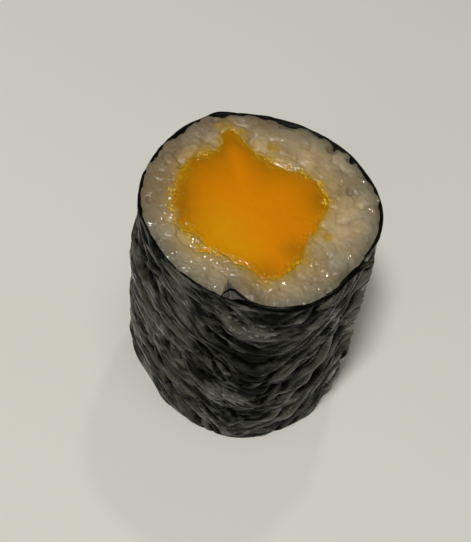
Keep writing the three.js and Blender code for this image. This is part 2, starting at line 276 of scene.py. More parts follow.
# %% Crumple the sheet
def crumple(u, v, width, lean, seed):
    """Flat triangles between random heights from -1 to 1, and a random tone for each triangle."""
    random = np.random.default_rng(seed)
    table = random.uniform(-1, 1, (TABLE, TABLE))
    tones = random.uniform(0, 1, (2, TABLE, TABLE))
    slant = math.radians(lean)
    p = (v * math.cos(slant) + u * math.sin(slant)) / width
    q = (v * math.cos(slant) - u * math.sin(slant)) / width
    i, j = np.floor(p).astype(int), np.floor(q).astype(int)
    fp, fq = p - i, q - j
    i, j, next_i, next_j = i % TABLE, j % TABLE, (i + 1) % TABLE, (j + 1) % TABLE
    here, there, up_p, up_q = table[i, j], table[next_i, next_j], table[next_i, j], table[i, next_j]
    lower = here + (up_p - here) * fp + (up_q - here) * fq
    upper = there + (up_q - there) * (1 - fp) + (up_p - there) * (1 - fq)
    below = fp + fq < 1
    return np.where(below, lower, upper), np.where(below, tones[0][i, j], tones[1][i, j])


FRONT = 91.0  # how far along the sheet the side lies that faces the camera
HANGING = 8.0  # folds sink by this on their way to the front
HANG_REACH = 9
CLIMB_FROM = 92.5  # beyond this place along the sheet they climb
CLIMB = 0.85  # by this for each millimetre
CLIMB_BEND = 1.5
u = (sweeps / SHEET_SWEEP * SHEET_LENGTH)[:, None] + np.zeros(SHEET_ROWS + 1)
v = heights[None, :] * HEIGHT + np.zeros((SHEET_COLUMNS + 1, 1))
bent_u = u + 1.5 * clouds(u, v, 6.0, 11)
hanging = HANGING * bell(np.minimum(u - FRONT, 0) / HANG_REACH)
hanging -= CLIMB * CLIMB_BEND * np.logaddexp(0, (u - CLIMB_FROM) / CLIMB_BEND)
bent_v = v + hanging + 1.5 * clouds(u, v, 9.0, 12) + 0.5 * clouds(u, v, 3.5, 13)
big, big_tone = crumple(bent_u, bent_v, 1.9, 25, 14)
middle, middle_tone = crumple(bent_u, bent_v + 5, 1.15, 31, 15)
small, small_tone = crumple(bent_u, bent_v + 9, 0.6, 36, 16)
vigour = 0.75 + 0.35 * clouds(u, v, 6.0, 17)  # some places are more crumpled than others
smooth_side = soft_step((u - FRONT) / 5)  # right of the front
creases = vigour * (0.60 * big + 0.36 * middle + mix(0.17, 0.06, smooth_side) * small)
print("crumpled by", creases.min().round(2), "to", creases.max().round(2), "mm")

# %% Fold it in
RIM_FADE = 1.1  # this near a cut the creases fade out
DEEPEST_CREASE = 1.1  # deeper ones would reach the rice
LAST_EDGE = 6.0  # degrees along the last edge, where the sheet is drier and straighter, and its colour gets a painted highlight
FOLD_REACH = 28  # passes of blur that make the surroundings of a fold
WIDE_REACH = 90  # and those of a group of folds
PRESSED_FROM = 0.27  # folds that stand higher than this are pressed flatter
MOVED_IN = 0.31  # the sheet lies in by this, which keeps its folds inside the CAD box
valley = np.clip(blur(creases, FOLD_REACH) - creases, 0, 1)
lowland = np.clip(blur(creases, WIDE_REACH) - creases - 0.06, 0, 1)
slot = soft_step((valley - 0.12 + 0.05 * clouds(u, v, 3.0, 18)) / 0.08)
print("share of the sheet in crevices:", slot.mean().round(3))
pressed = PRESSED_FROM + 0.3 * (creases - PRESSED_FROM)
creases = np.minimum(creases, pressed) - 0.7 * valley - 0.5 * slot
from_cut = np.minimum(v, HEIGHT - v)
at_rim = soft_step(from_cut / RIM_FADE)
shows = soft_step((sweeps[:, None] - OVERLAP_SWEEP) / 10)  # the tucked part lies smooth
creases = (creases - MOVED_IN) * mix(0.14, 1.0, at_rim) * mix(0.12, 1.0, shows)
to_end = (SHEET_SWEEP - sweeps[:, None]) / LAST_EDGE
creases = np.maximum(creases * mix(0.2, 1.0, soft_step(to_end)), -DEEPEST_CREASE)
print("creases:", creases.min().round(2), "to", creases.max().round(2), "mm")

# %% [markdown]
# The upper rim leans out a little at the front, and the last edge stands off in lips. The folds
# also say how the sheet will look: ridges get painted highlights, crevices and hollows painted
# shade, and each facet has a tone. Wet places with painted glints and dull places with painted
# shade are listed, as the photo shows them.

# %% Mark the sheet
FLARE = 0.22
flare = FLARE * bell((u - 89.5) / 4.0) * soft_step((v - HEIGHT + 8) / 8)
lift = np.exp(-(to_end**2) * 2.5) * (0.28 + 0.3 * clouds(v, v * 0, 4.5, 19))
sheet_out = sheet + creases + np.clip(lift, 0, 1) + flare
standing = creases - blur(creases, 5)
# painted highlight: the colour of the sheet is made lighter along the tops of the folds
ridge_highlight = np.clip(standing / np.percentile(standing, 97), 0, 1) * shows
# painted shade: crevices, folds and hollows of the sheet are darkened and lose their shine
painted_shade = np.clip(valley * 5.0 - 0.35 + slot + 3.2 * lowland, 0, 1) * shows * mix(0.5, 1.0, at_rim)
leaf_tone = 0.45 * big_tone + 0.35 * middle_tone + 0.2 * small_tone
# Each place has its distance along the sheet, its height and its size.
# wet places get a coat and painted glints
WET_AND_GLINTS = [(87.4, 26.7, 1.6), (89.6, 25.0, 1.6), (87.4, 9.5, 2.4), (80.8, 26.0, 1.6), (99.5, 24.5, 2.2)]
WET_AND_GLINTS += [(96.0, 5.0, 1.6), (91.1, 25.9, 1.2)]
# dull places are also painted darker, as shade
SHADED_AND_DULL = [(86.5, 20.5, 2.6), (91.0, 20.0, 2.4), (92.0, 13.0, 2.6), (95.5, 28.6, 1.6), (84.0, 14.0, 2.0)]
SHADED_AND_DULL += [(91.4, 28.9, 1.8), (89.0, 17.0, 2.4)]


def near_places(places):
    return sum(np.exp(-((u - along) ** 2 + (v - high) ** 2) / size**2) for along, high, size in places)


shine = near_places(WET_AND_GLINTS) - near_places(SHADED_AND_DULL)
print("share of the sheet that is sunk:", (painted_shade > 0.5).mean().round(3))

# %% [markdown]
# The outer face carries the folds. The inner face is hidden, so it has few rows, and it stays
# behind the deepest crease. Strips along the cuts and the two edges close them into a thin solid.

# %% Place the points of the sheet
INNER_STEP = 12  # the inner face, hidden against the rice, has one row in twelve
RIM_WAVE = 0.12  # the cut through the sheet isn't quite straight
SAG = 0.5  # lips hang down by this share of how far they stand out
NEAR_CUT = 1.5  # this near a cut they don't, and the two faces follow each other


def sheet_points(radius, row_heights, sag):
    angle = np.radians(SHEET_START + sweeps)[:, None]
    x = TOP_LEAN[0] * row_heights + radius * np.cos(angle)
    y = TOP_LEAN[1] * row_heights + radius * np.sin(angle)
    points = place(x, y, row_heights + np.zeros_like(x))
    wave = RIM_WAVE * (rough_clouds(u[:, :1], v[:, :1], 2.4, 18) - 0.9)
    points[..., 2] += wave * soft_step((row_heights - 0.96) / 0.04) - sag
    return points


inner_rows = np.arange(0, SHEET_ROWS + 1, INNER_STEP)
inner_heights = heights[inner_rows]
hidden = soft_step(np.minimum(inner_heights, 1 - inner_heights) * HEIGHT / NEAR_CUT)
hidden_in = sheet[:, inner_rows] - DEEPEST_CREASE * shows
sheet_in = mix(sheet_out[:, inner_rows], hidden_in, hidden) - SHEET_THICKNESS
sag = SAG * creases * soft_step(from_cut / NEAR_CUT)
outer_points = sheet_points(sheet_out, heights[None, :], sag)
inner_points = sheet_points(sheet_in, inner_heights[None, :], 0.0)
print("the sheet spans", np.ptp(outer_points.reshape(-1, 3), axis=0).round(2), "mm")

# %% Close the sheet
columns, rows, inner_count = SHEET_COLUMNS + 1, SHEET_ROWS + 1, len(inner_rows)
inner_first = columns * rows


def outer_index(column, row):
    return column * rows + row


def inner_index(column, row):
    return inner_first + column * inner_count + row


nori_faces = [face[::-1] for face in grid_faces(columns, rows)]
nori_faces += grid_faces(columns, inner_count, first=inner_first)
for c in range(SHEET_COLUMNS):
    last_in, last_out = inner_count - 1, SHEET_ROWS
    top = (outer_index(c, last_out), outer_index(c + 1, last_out))
    nori_faces.append((*top, inner_index(c + 1, last_in), inner_index(c, last_in)))
    foot = (outer_index(c + 1, 0), outer_index(c, 0))
    nori_faces.append((*foot, inner_index(c, 0), inner_index(c + 1, 0)))
for r in range(inner_count - 1):
    steps = range(r * INNER_STEP, (r + 1) * INNER_STEP + 1)
    start_edge = [outer_index(0, k) for k in steps]
    nori_faces.append((*start_edge, inner_index(0, r + 1), inner_index(0, r)))
    end_edge = [outer_index(SHEET_COLUMNS, k) for k in reversed(steps)]
    end_inner = (inner_index(SHEET_COLUMNS, r), inner_index(SHEET_COLUMNS, r + 1))
    nori_faces.append((*end_edge, *end_inner))


def both_faces(outer, inner):
    return np.concatenate([outer.reshape(columns * rows, -1), inner.reshape(columns * inner_count, -1)])


nori_points = both_faces(outer_points, inner_points)
sheet_place = np.stack([bent_u, bent_v, 0 * u], -1)
end_values = to_end + 0 * v
nori_values = {
    "to_end": both_faces(end_values, end_values[:, inner_rows]),
    "sheet_place": both_faces(sheet_place, sheet_place[:, inner_rows]),
}
for key, values in {"painted_shade": painted_shade, "leaf_tone": leaf_tone, "shine": shine, "ridge_highlight": ridge_highlight}.items():
    nori_values[key] = both_faces(values, 0 * values[:, inner_rows])
nori = make_piece("nori_sheet", nori_points, nori_faces, "nori", nori_values)

# %% [markdown]
# ## The outlines of the cut faces
#
# Rice and mango meet the knife at both ends. Seen from the middle of the mango, every direction
# leaves the fruit once and then meets the nori once. So both pieces can be laid out on spokes from
# that middle. The two outlines are read from the CAD solids at each height.

# %% Read the outlines
MANGO_MIDDLE = np.array([-1.4, -0.6])
SPOKES = 640
spoke_angles = np.arange(SPOKES) * 2 * math.pi / SPOKES


def middle_at(height):
    return MANGO_MIDDLE + TOP_LEAN * height


def ring_blur(values, passes):
    for _ in range(passes):
        values = (values + (np.roll(values, 1) + np.roll(values, -1)) / 2) / 2
    return values


def outline(solid, height, smooth_passes):
    found = [reach(solid, middle_at(height), angle, height) for angle in spoke_angles]
    return ring_blur(np.array(found), smooth_passes)


BAND = 0.03  # outlines of the two cuts are read this share of the height inside them
cuts = {1: 1 - BAND, 0: BAND}
mango_edge = {cut: outline(mango_solid, height, 6) for cut, height in cuts.items()}
nori_edge = {cut: outline(nori_solid, height, 1) for cut, height in cuts.items()}
for cut in cuts:
    ring = nori_edge[cut] - mango_edge[cut]
    print("rice ring at cut", cut, "is", ring.min().round(1), "to", ring.max().round(1), "mm wide")

# %% [markdown]
# ## The rice
#
# Cooked sushi rice is short and plump, about five millimetres by two and a half. Pressed into a
# roll the grains lie every way and squeeze each other flat where they touch. The knife cuts
# through the ones in its way, and each cut grain bulges a little, since it is under pressure.
#
# Thousands of loose grains would be wasted inside the roll. Only the grains that the cut meets are
# needed. They are dropped as short rods into the ring, and pushed apart in small steps until they
# only just press on each other, which gives a natural packing. The face of the rice is then a
# height over each point: the highest grain there, trimmed at the cut.

# %% Pack grains
GRAIN_LENGTH = 5.2
GRAIN_WIDTH = 2.4
GRAIN_COUNT = 118
PACKING_STEPS = 90
ROD = np.array([-1.0, 0.0, 1.0])  # three balls along each grain stand for it while packing
BALL_REACH = 1.25  # from the middle ball to the next
BALL = 0.98  # the radius of a ball
DEEPEST, HIGHEST = -2.0, 1.0  # the middles of the balls stay between these, against the cut
STEEPEST = 35  # degrees that a grain may tilt at the start
PUSH = 0.22  # share of an overlap that one step pushes away
HOLD = 0.6  # and of what sticks out of the ring
# Grains placed one by one on the upper face: x, y and height of the middle, turn and tilt in
# degrees, how far they stand above the cut, and length. The upper cut's x and y count from the
# leaning axis, here and wherever places on it are listed.
SHOWN_GRAINS = np.array([
    (-1.6, 8.5, -0.95, 90, 42, 0.34, 4.6),
    (1.5, 7.0, -0.5, -10, 3, 0.34, 6.2),
    (-7.4, 8.3, -0.85, -28, 16, 0.24, 5.0),
    (-6.9, -7.2, -0.8, -21, 10, 0.20, 5.0),
    (-10.0, 4.4, -0.9, 62, 12, 0.16, 5.2),
    (9.6, 1.4, -0.9, 48, 8, 0.18, 5.2),
    (9.7, -5.8, -0.8, 74, 8, 0.09, 5.2),
    (7.6, -0.3, -0.9, 80, 20, 0.16, 5.0),
])


def ways(turn, tilt):
    """Unit directions from a turn round the upright axis and a tilt, both in degrees."""
    turn, tilt = np.radians(turn), np.radians(tilt)
    flat = np.cos(tilt)
    return np.stack([flat * np.cos(turn), flat * np.sin(turn), np.sin(tilt)], -1)


def ring_limits(points, cut):
    """Distance from the mango's middle, and the ring's two edges in that direction."""
    away = np.hypot(points[..., 0], points[..., 1])
    spoke = np.round(np.arctan2(points[..., 1], points[..., 0]) / (2 * math.pi) * SPOKES)
    spoke = spoke.astype(int) % SPOKES
    return away, mango_edge[cut][spoke], nori_edge[cut][spoke]


def pack_grains(cut, seed, shown):
    """Middles, directions and sizes of grains round a cut, in millimetres from the mango's middle."""
    random = np.random.default_rng(seed)
    count = GRAIN_COUNT + len(shown)
    drops = random.uniform(-16, 16, (count * 8, 2))
    away, inner, outer = ring_limits(drops, cut)
    drops = drops[(away > inner + 0.6) & (away < outer - 0.6)][:count]
    middles = np.column_stack([drops, random.uniform(DEEPEST, 0.9, count)])
    pointing = ways(random.uniform(0, 360, count), random.uniform(-STEEPEST, STEEPEST, count))
    if len(shown):
        middles[-len(shown) :] = shown[:, :3]
        middles[-len(shown) :, :2] -= MANGO_MIDDLE
        pointing[-len(shown) :] = ways(shown[:, 3], shown[:, 4])
    free = (np.arange(count) < GRAIN_COUNT)[:, None, None]
    for _ in range(PACKING_STEPS):
        balls = middles[:, None] + pointing[:, None] * (ROD * BALL_REACH)[None, :, None]
        gap = balls[:, None, :, None] - balls[None, :, None, :]
        far = np.linalg.norm(gap, axis=-1) + 1e-9
        push = np.clip(2 * BALL - far, 0, None) * (1 - np.eye(count))[:, :, None, None]
        force = (gap / far[..., None] * push[..., None]).sum((1, 3)) * PUSH
        reach_now, inner, outer = ring_limits(balls, cut)
        out = balls[..., :2] / reach_now[..., None]
        short = np.clip(inner + BALL * 0.7 - reach_now, 0, 1)
        short -= np.clip(reach_now - outer + BALL * 0.8, 0, 1)
        force[..., :2] += out * short[..., None] * HOLD
        force[..., 2] += np.clip(DEEPEST - balls[..., 2], 0, 1) - np.clip(balls[..., 2] - HIGHEST, 0, 1)
        force = force * free
        middles = middles + force.mean(1)
        pointing = pointing + (force * ROD[None, :, None]).mean(1) / BALL_REACH
        pointing /= np.linalg.norm(pointing, axis=-1, keepdims=True)
    sizes = np.stack([
        GRAIN_LENGTH / 2 * random.uniform(0.85, 1.08, count),
        GRAIN_WIDTH / 2 * random.uniform(0.94, 1.12, count),
        GRAIN_WIDTH / 2 * random.uniform(0.88, 1.02, count),
    ], -1)
    stand = random.uniform(0.02, 0.09, count)
    if len(shown):
        stand[-len(shown) :] = shown[:, 5]
        sizes[-len(shown) :, 0] = shown[:, 6] / 2
    return middles, pointing, sizes, stand


TOP_GRAINS = pack_grains(1, 21, SHOWN_GRAINS)
FOOT_GRAINS = pack_grains(0, 22, SHOWN_GRAINS[:0])
print("grains round the upper cut:", len(TOP_GRAINS[0]), "and round the foot:", len(FOOT_GRAINS[0]))


# %% Height of the rice over a face
PASTE = -0.22  # between grains the soft starch fills up to here
GROOVE = 0.045
SHOWN_STAND = 0.1  # a grain that stands higher above the cut than this is a shown one
MOAT = 0.10  # it stands clear of its neighbours
PALE_TONE = 2.2


def soft_min(a, b, blend):
    share = np.clip(0.5 + (b - a) / (2 * blend), 0, 1)
    return mix(b, a, share) - blend * share * (1 - share)


def rice_face(x, y, grains, seed):
    """Height against the cut, a tone for the grain that is cut there, and if it is a shown one."""
    surface = PASTE + 0.12 * clouds(x, y, 0.8, seed)
    top_grain = np.full(x.shape, 0.5)
    first, second = np.full(x.shape, 1.5), np.full(x.shape, 1.5)
    tones = np.random.default_rng(seed).uniform(0, 1, len(grains[0]))
    tones[grains[3] > SHOWN_STAND] = PALE_TONE
    moat, on_shown = np.zeros(x.shape), np.zeros(x.shape)
    for middle, pointing, size, stand, tone in zip(*grains, tones):
        side = np.cross([0.0, 0.0, 1.0], pointing)
        side /= np.linalg.norm(side)
        axes = np.stack([pointing, side, np.cross(pointing, side)]) / size[:, None]
        form = axes.T @ axes
        # With z from the grain's middle, its two faces over a point solve a*z*z + 2*b*z + c = 1.
        px, py = x - middle[0], y - middle[1]
        a = form[2, 2]
        b = form[0, 2] * px + form[1, 2] * py
        c = form[0, 0] * px**2 + 2 * form[0, 1] * px * py + form[1, 1] * py**2
        inside = b * b - a * (c - 1)
        root = np.sqrt(np.clip(inside, 0, None)) / a
        upper = middle[2] - b / a + root
        lower = middle[2] - b / a - root
        section = a * middle[2] ** 2 - 2 * b * middle[2] + c  # below 1 where the cut meets the grain
        trimmed = soft_min(upper, stand * np.clip(1 - section, -1, 1), 0.10 + stand)
        here = (inside > 0) & (lower < 0)
        surface = np.maximum(surface, np.where(here, trimmed, -9.0))
        far = np.sqrt(np.clip(section, 0, None))
        top_grain = np.where(far < first, tone, top_grain)
        if stand > SHOWN_STAND:
            moat = np.maximum(moat, bell((far - 1.06) / 0.10))
            on_shown = np.maximum(on_shown, 1 - soft_step((far - 0.85) / 0.2))
        second = np.minimum(second, np.maximum(first, far))
        first = np.minimum(first, far)
    groove = bell((second - first) / 0.12) * np.clip(1.3 - first, 0, 1) * 2
    fades = np.clip(0.55 + 0.9 * clouds(x, y, 2.2, seed + 9), 0, 1)
    surface = surface - GROOVE * fades * np.clip(groove, 0, 1) - MOAT * moat * (1 - on_shown)
    return surface, top_grain, on_shown


print("cut grains that stand out on the upper face:", (TOP_GRAINS[3] > SHOWN_STAND).sum())

# %% [markdown]
# The rice lies on spokes from the middle of the mango to the nori. At the front the sheet's first
# edge is tucked in, and between it and the last lap lies a narrow wedge of rice, a little lower
# than the rest. There the spokes reach further out, up to the last lap.

# %% Lay out the ring
TOP_ROWS = 72
FOOT_ROWS = 58
UNDER = 0.7  # the rice reaches this far in under the edge of the mango
INTO_NORI = 0.10
WEDGE = 26  # spokes that the wedge takes up
TUCK_DEPTH = 0.25
rice_edge = {cut: nori_edge[cut] + INTO_NORI for cut in cuts}
tuck_spoke = int(np.argmax(nori_edge[1] - np.roll(nori_edge[1], -1)))
wedge_spokes = (tuck_spoke + np.arange(1, WEDGE)) % SPOKES
in_wedge = np.zeros((SPOKES, 1))
in_wedge[wedge_spokes] = 1
for n, spoke in enumerate(wedge_spokes):
    last_lap = reach(nori_solid, middle_at(cuts[1]), spoke_angles[spoke], cuts[1], inwards=True)
    share = soft_step(n / WEDGE)
    rice_edge[1][spoke] = mix(last_lap - SHEET_THICKNESS, nori_edge[1][spoke] + INTO_NORI, share)
print("the tuck starts at", np.degrees(spoke_angles[tuck_spoke]).round(1), "degrees")


def on_spokes(away):
    """Where points lie that are this far out along each spoke."""
    return away * np.cos(spoke_angles)[:, None], away * np.sin(spoke_angles)[:, None]


def ring_distances(cut, row_count):
    """How far out the rows of one face of the rice lie, from the mango to the nori."""
    shares = np.linspace(0, 1, row_count)[None, :]
    return mix((mango_edge[cut] - UNDER)[:, None], rice_edge[cut][:, None], shares)


top_away, foot_away = ring_distances(1, TOP_ROWS), ring_distances(0, FOOT_ROWS)
top_x, top_y = on_spokes(top_away)
foot_x, foot_y = on_spokes(foot_away)
top_relief, top_tone, top_shown = rice_face(top_x, top_y, TOP_GRAINS, 31)
foot_relief, foot_tone, foot_shown = rice_face(foot_x, foot_y, FOOT_GRAINS, 32)
print("relief of the upper face:", top_relief.min().round(2), "to", top_relief.max().round(2), "mm")

# %% [markdown]
# A sharp edge between two wet grains doesn't stay sharp: starch rounds it off. So the relief is
# blurred a little, fine lumps are added, and the rice is let down towards the mango, under whose
# edge it goes. The foot gets the same treatment, but nothing there may stand out under the plane
# that the piece rests on.

# %% Soften the two faces
# Hollows near the nori where a grain came away: x, y, size and depth.
HOLLOWS = [
    (6.7, 11.0, 0.65, 0.7),
    (9.2, 10.0, 0.5, 0.5),
    (9.7, 5.3, 0.45, 0.4),
    (-12.4, -3.4, 0.45, 0.4),
    (-7.6, 10.9, 0.5, 0.4),
    (9.0, -9.7, 0.35, 0.35),
]


def far_from(x, y, place_x, place_y, size):
    """How many sizes away from a place the points lie."""
    return np.hypot(x + MANGO_MIDDLE[0] - place_x, y + MANGO_MIDDLE[1] - place_y) / size


def soften(relief, x, y, edge_distance, rim_distance, on_shown, hollows, seed):
    relief = blur(relief, 4)
    relief = relief + 0.075 * rough_clouds(x, y, 0.8, seed, 3) + 0.06 * clouds(x, y, 2.6, seed + 5)
    for *spot, deep in hollows:
        relief = relief - deep * np.exp(-(far_from(x, y, *spot) ** 4))
    rim_dip = bell(rim_distance / 0.5) * (0.18 + 0.14 * clouds(x, y, 1.5, seed + 6))
    slope = 0.3 - edge_distance + 0.3 * clouds(x, y, 0.9, seed + 7)
    return relief - 0.32 * soft_step(slope) * (1 - 0.85 * on_shown) - rim_dip


top_edge = top_away - mango_edge[1][:, None]
foot_edge = foot_away - mango_edge[0][:, None]
top_tone, foot_tone = blur(np.maximum(top_tone, PALE_TONE * top_shown), 3), blur(foot_tone, 3)
top_rim = nori_edge[1][:, None] - top_away
top_tuck = in_wedge * soft_step(-top_rim / 0.2 + 0.5)
top_rim = np.where(in_wedge > 0, np.abs(top_rim), top_rim)
foot_rim = nori_edge[0][:, None] - foot_away
top_relief = soften(top_relief, top_x, top_y, top_edge, top_rim, top_shown, HOLLOWS, 33)
top_relief -= TUCK_DEPTH * top_tuck
foot_relief = soften(foot_relief, foot_x, foot_y, foot_edge, foot_rim, foot_shown, [], 34)
foot_relief = soft_min(foot_relief, 0.0, 0.03)
print("softened to:", top_relief.min().round(2), "to", top_relief.max().round(2), "mm")

# %% [markdown]
# Juice runs from the fruit into the rice and fades within a millimetre or two, and pulp was
# smeared over it here and there. The rice is also made browner in some places and paler in
# others, as the photo shows.


# %% Stain the rice
def spots(x, y, places):
    """How near a point is to the nearest of some places, 0 to 1; places have x, y and a size."""
    nearest = np.zeros(x.shape)
    for spot in places:
        nearest = np.maximum(nearest, bell(far_from(x, y, *spot)))
    return nearest


def stain_of(x, y, edge_distance, places, seed):
    """How much mango juice has run into the rice, from 0 to 1."""
    far = np.clip(edge_distance, 0, None)
    near = 0.88 * np.exp(-far / (0.65 + 0.45 * clouds(x, y, 1.7, seed)))
    stain = near + 0.25 * np.exp(-far / 2.4)
    smear = spots(x, y, places) * (0.8 + 0.3 * clouds(x, y, 0.6, seed + 1))
    return np.clip(np.maximum(stain, smear), 0, 1)


# Places where pulp was smeared on the rice: x, y and size.
SMEARS = [
    (-5.7, 8.9, 0.9),
    (-4.7, 8.0, 0.8),
    (-7.1, 10.2, 0.6),
    (-4.1, 10.1, 0.7),
    (-3.3, 8.2, 0.7),
    (-0.1, 8.8, 1.0),
    (4.0, 6.0, 1.1),
    (5.2, 4.0, 1.0),
    (-10.2, -2.0, 0.8),
    (-4.6, -8.2, 0.9),
    (2.2, -10.3, 1.1),
    (7.9, -2.3, 0.7),
]
top_stain = stain_of(top_x, top_y, top_edge, SMEARS, 41)
# Where the rice is made browner, and where it is made paler: x, y and size.
BROWNER = [(-13.0, -1.5, 4.2), (-12.0, 4.5, 3.2), (-2.0, 13.0, 2.2), (-8.5, 10.5, 3.0), (0.5, -13.5, 2.4)]
PALER_RICE = [(8.5, -2.0, 4.0), (5.5, 8.0, 2.6), (-5.5, -9.5, 1.6)]
top_tint = spots(top_x, top_y, PALER_RICE) - spots(top_x, top_y, BROWNER)
foot_stain = stain_of(foot_x, foot_y, foot_edge, [(4.0, 6.0, 1.2), (-8.0, 1.0, 1.0)], 42)
print("stained share of the upper face:", (top_stain > 0.3).mean().round(2))


# %% Close the ring of rice
TALLEST = 31.73  # nothing stands higher than the CAD model does


def on_face(x, y, relief, cut):
    middle = middle_at(cut)
    points = place(x + middle[0], y + middle[1], np.full(x.shape, float(cut)))
    points[..., 2] += relief if cut == 1 else -relief
    points[..., 2] = soft_min(points[..., 2], TALLEST, 0.2)
    return points


WALL_HEIGHTS = np.array([0.95, 0.7, 0.5, 0.3, 0.05])


def wall(solid, offset, wall_heights):
    """Rings of points at some heights, a little off the outline of a solid."""
    rings = []
    for height in wall_heights:
        x, y = on_spokes((outline(solid, height, 2) + offset)[:, None])
        middle = middle_at(height)
        rings.append(place(x + middle[0], y + middle[1], np.full(x.shape, height)))
    return np.concatenate(rings, 1)


top_points = on_face(top_x, top_y, top_relief, 1)
foot_points = on_face(foot_x, foot_y, foot_relief, 0)[:, ::-1]
outer_wall = wall(nori_solid, -1.2, WALL_HEIGHTS)
inner_wall = wall(mango_solid, -UNDER, WALL_HEIGHTS[::-1])
rice_rings = np.concatenate([top_points, outer_wall, foot_points, inner_wall], 1)
on_walls = np.zeros((SPOKES, len(WALL_HEIGHTS)))
on_foot = np.zeros((SPOKES, FOOT_ROWS))
face_values = {
    "tone": (top_tone, foot_tone),
    "stain": (top_stain, foot_stain),
    "relief": (top_relief, foot_relief),
    "tuck": (top_tuck, on_foot),
    "rim": (top_rim, foot_rim),
    "tint": (top_tint, on_foot),
}
rice_values = {}
for key, (top_values, foot_values) in face_values.items():
    rice_values[key] = np.concatenate([top_values, on_walls, foot_values[:, ::-1], on_walls], 1)
rice_faces = grid_faces(*rice_rings.shape[:2], closed_columns=True, closed_rows=True)
rice_points = rice_rings.reshape(-1, 3)
rice = make_piece("rice_ring", rice_points, rice_faces, "rice", rice_values)

# %% [markdown]
# ## The mango
#
# Ripe mango cuts as smoothly as butter. The face is almost flat and shines where juice stands on
# it. Only the rim is ragged: soft flesh was pressed out between the grains of rice. So the fruit is
# a smooth closed form on the same spokes, whose edge dips down and runs out under the grains next
# to it. Where two grains leave a gap, the flesh shows in it, which gives the ragged outline for free.

# %% Shape the mango
MANGO_TOP_ROWS = 86
MANGO_FOOT_ROWS = 50
SKIRT = 0.75  # how far the flesh runs out between the grains
DIP = 0.48
ROUNDING = 0.9  # the face starts to slope down this far inside the outline


def mango_face(cut, row_count, seed):
    """Places and relief of a cut face of the fruit, spoke by spoke, from its middle outwards."""
    shares = np.linspace(0, 1, row_count + 1)[None, 1:] ** 0.8
    ragged = 0.30 * rough_clouds(spoke_angles * 8.5, np.zeros(SPOKES), 2.1, seed, 2)
    edge = mango_edge[cut] + ragged
    away = shares * (edge + SKIRT)[:, None]
    x, y = on_spokes(away)
    past_edge = away - edge[:, None]
    sloping = (past_edge + ROUNDING) / (SKIRT + ROUNDING)
    relief = 0.06 * clouds(x, y, 5.5, seed) + 0.015 * rough_clouds(x, y, 1.2, seed + 1)
    lumps = np.clip(rough_clouds(x, y, 0.5, seed + 2, 2) - 0.1, 0, 1)
    relief += 0.12 * lumps * bell((past_edge + 0.2) / 0.6)
    relief -= DIP * np.clip(sloping, 0, 1) ** 2.5
    return x, y, relief, past_edge


flesh_x, flesh_y, flesh_relief, flesh_edge = mango_face(1, MANGO_TOP_ROWS, 51)
base_x, base_y, base_relief, base_edge = mango_face(0, MANGO_FOOT_ROWS, 52)
base_relief = np.minimum(base_relief, 0)
flesh_top = on_face(flesh_x, flesh_y, flesh_relief, 1)
flesh_foot = on_face(base_x, base_y, base_relief, 0)[:, ::-1]
flesh_wall = wall(mango_solid, -0.25, WALL_HEIGHTS)
flesh_rings = np.concatenate([flesh_top, flesh_wall, flesh_foot], 1)
ring_count = flesh_rings.shape[1]
flesh_faces = grid_faces(SPOKES, ring_count, closed_columns=True)
top_middle, foot_middle = SPOKES * ring_count, SPOKES * ring_count + 1
for s in range(SPOKES):
    following = (s + 1) % SPOKES
    flesh_faces.append((top_middle, s * ring_count, following * ring_count))
    last = ring_count - 1
    flesh_faces.append((foot_middle, following * ring_count + last, s * ring_count + last))
middles = np.stack([place(*middle_at(1), 1.0), place(*middle_at(0), 0.0)])
flesh_points = np.concatenate([flesh_rings.reshape(-1, 3), middles])
print("relief of the fruit:", flesh_relief.min().round(2), "to", flesh_relief.max().round(2), "mm")

# %% [markdown]
# The finish needs to know how far inside the outline each point lies, where the flesh is paler
# than the rest, and where it gets painted shade. These numbers are kept on the points of the mesh.

# %% Mark the mango
edge_values = np.concatenate([flesh_edge, on_walls, base_edge[:, ::-1]], 1).ravel()
# Where the flesh is paler, and the corners where its painted shade is darkest: x, y and size.
PALER = [(-4.4, -6.0, 4.2), (-1.8, -7.6, 3.2)]
SHADED_CORNERS = [(-5.0, 9.4, 2.0), (-9.9, -2.6, 2.2), (6.9, 2.6, 2.2), (4.6, -5.4, 1.5), (2.0, -9.6, 2.0)]
far_left = np.clip(0.5 + (0.85 * flesh_y - 0.5 * flesh_x) / 10, 0, 1)
# painted shade: the flesh is darkened towards its outline, towards the back and in its corners
mango_shade = np.exp(np.clip(flesh_edge, -9, 0) / 3.0) * (0.27 + 0.95 * far_left)
mango_shade = np.clip(mango_shade + 0.6 * spots(flesh_x, flesh_y, SHADED_CORNERS), 0, 1)


def all_rings(top_values):
    """Numbers for every ring of the flesh, from those on the upper face."""
    rest = np.full((SPOKES, len(WALL_HEIGHTS) + MANGO_FOOT_ROWS), 0.3)
    return np.append(np.concatenate([top_values, rest], 1).ravel(), [0.0, 0.0])


FAR_INSIDE = -8.0  # from the outline to the middle of a face
flesh_values = {
    "edge": np.append(edge_values, [FAR_INSIDE, FAR_INSIDE]),
    "paler": all_rings(spots(flesh_x, flesh_y, PALER)),
    "mango_shade": all_rings(mango_shade),
}
flesh = make_piece("mango_flesh", flesh_points, flesh_faces, "mango", flesh_values)

# %% [markdown]
# ## Crumbs of pulp
#
# The knife drags soft pulp off the fruit and leaves it along the outline in tiny wet lumps. Each
# one catches the light, and together they make the ragged, glittering edge of the cut. They are
# groups of two to five small balls, dented and squashed at random, which sink by more than half
# into what a ray from above finds under them. The numbers say where along the outline the groups
# gather: an angle, its spread, and how many.

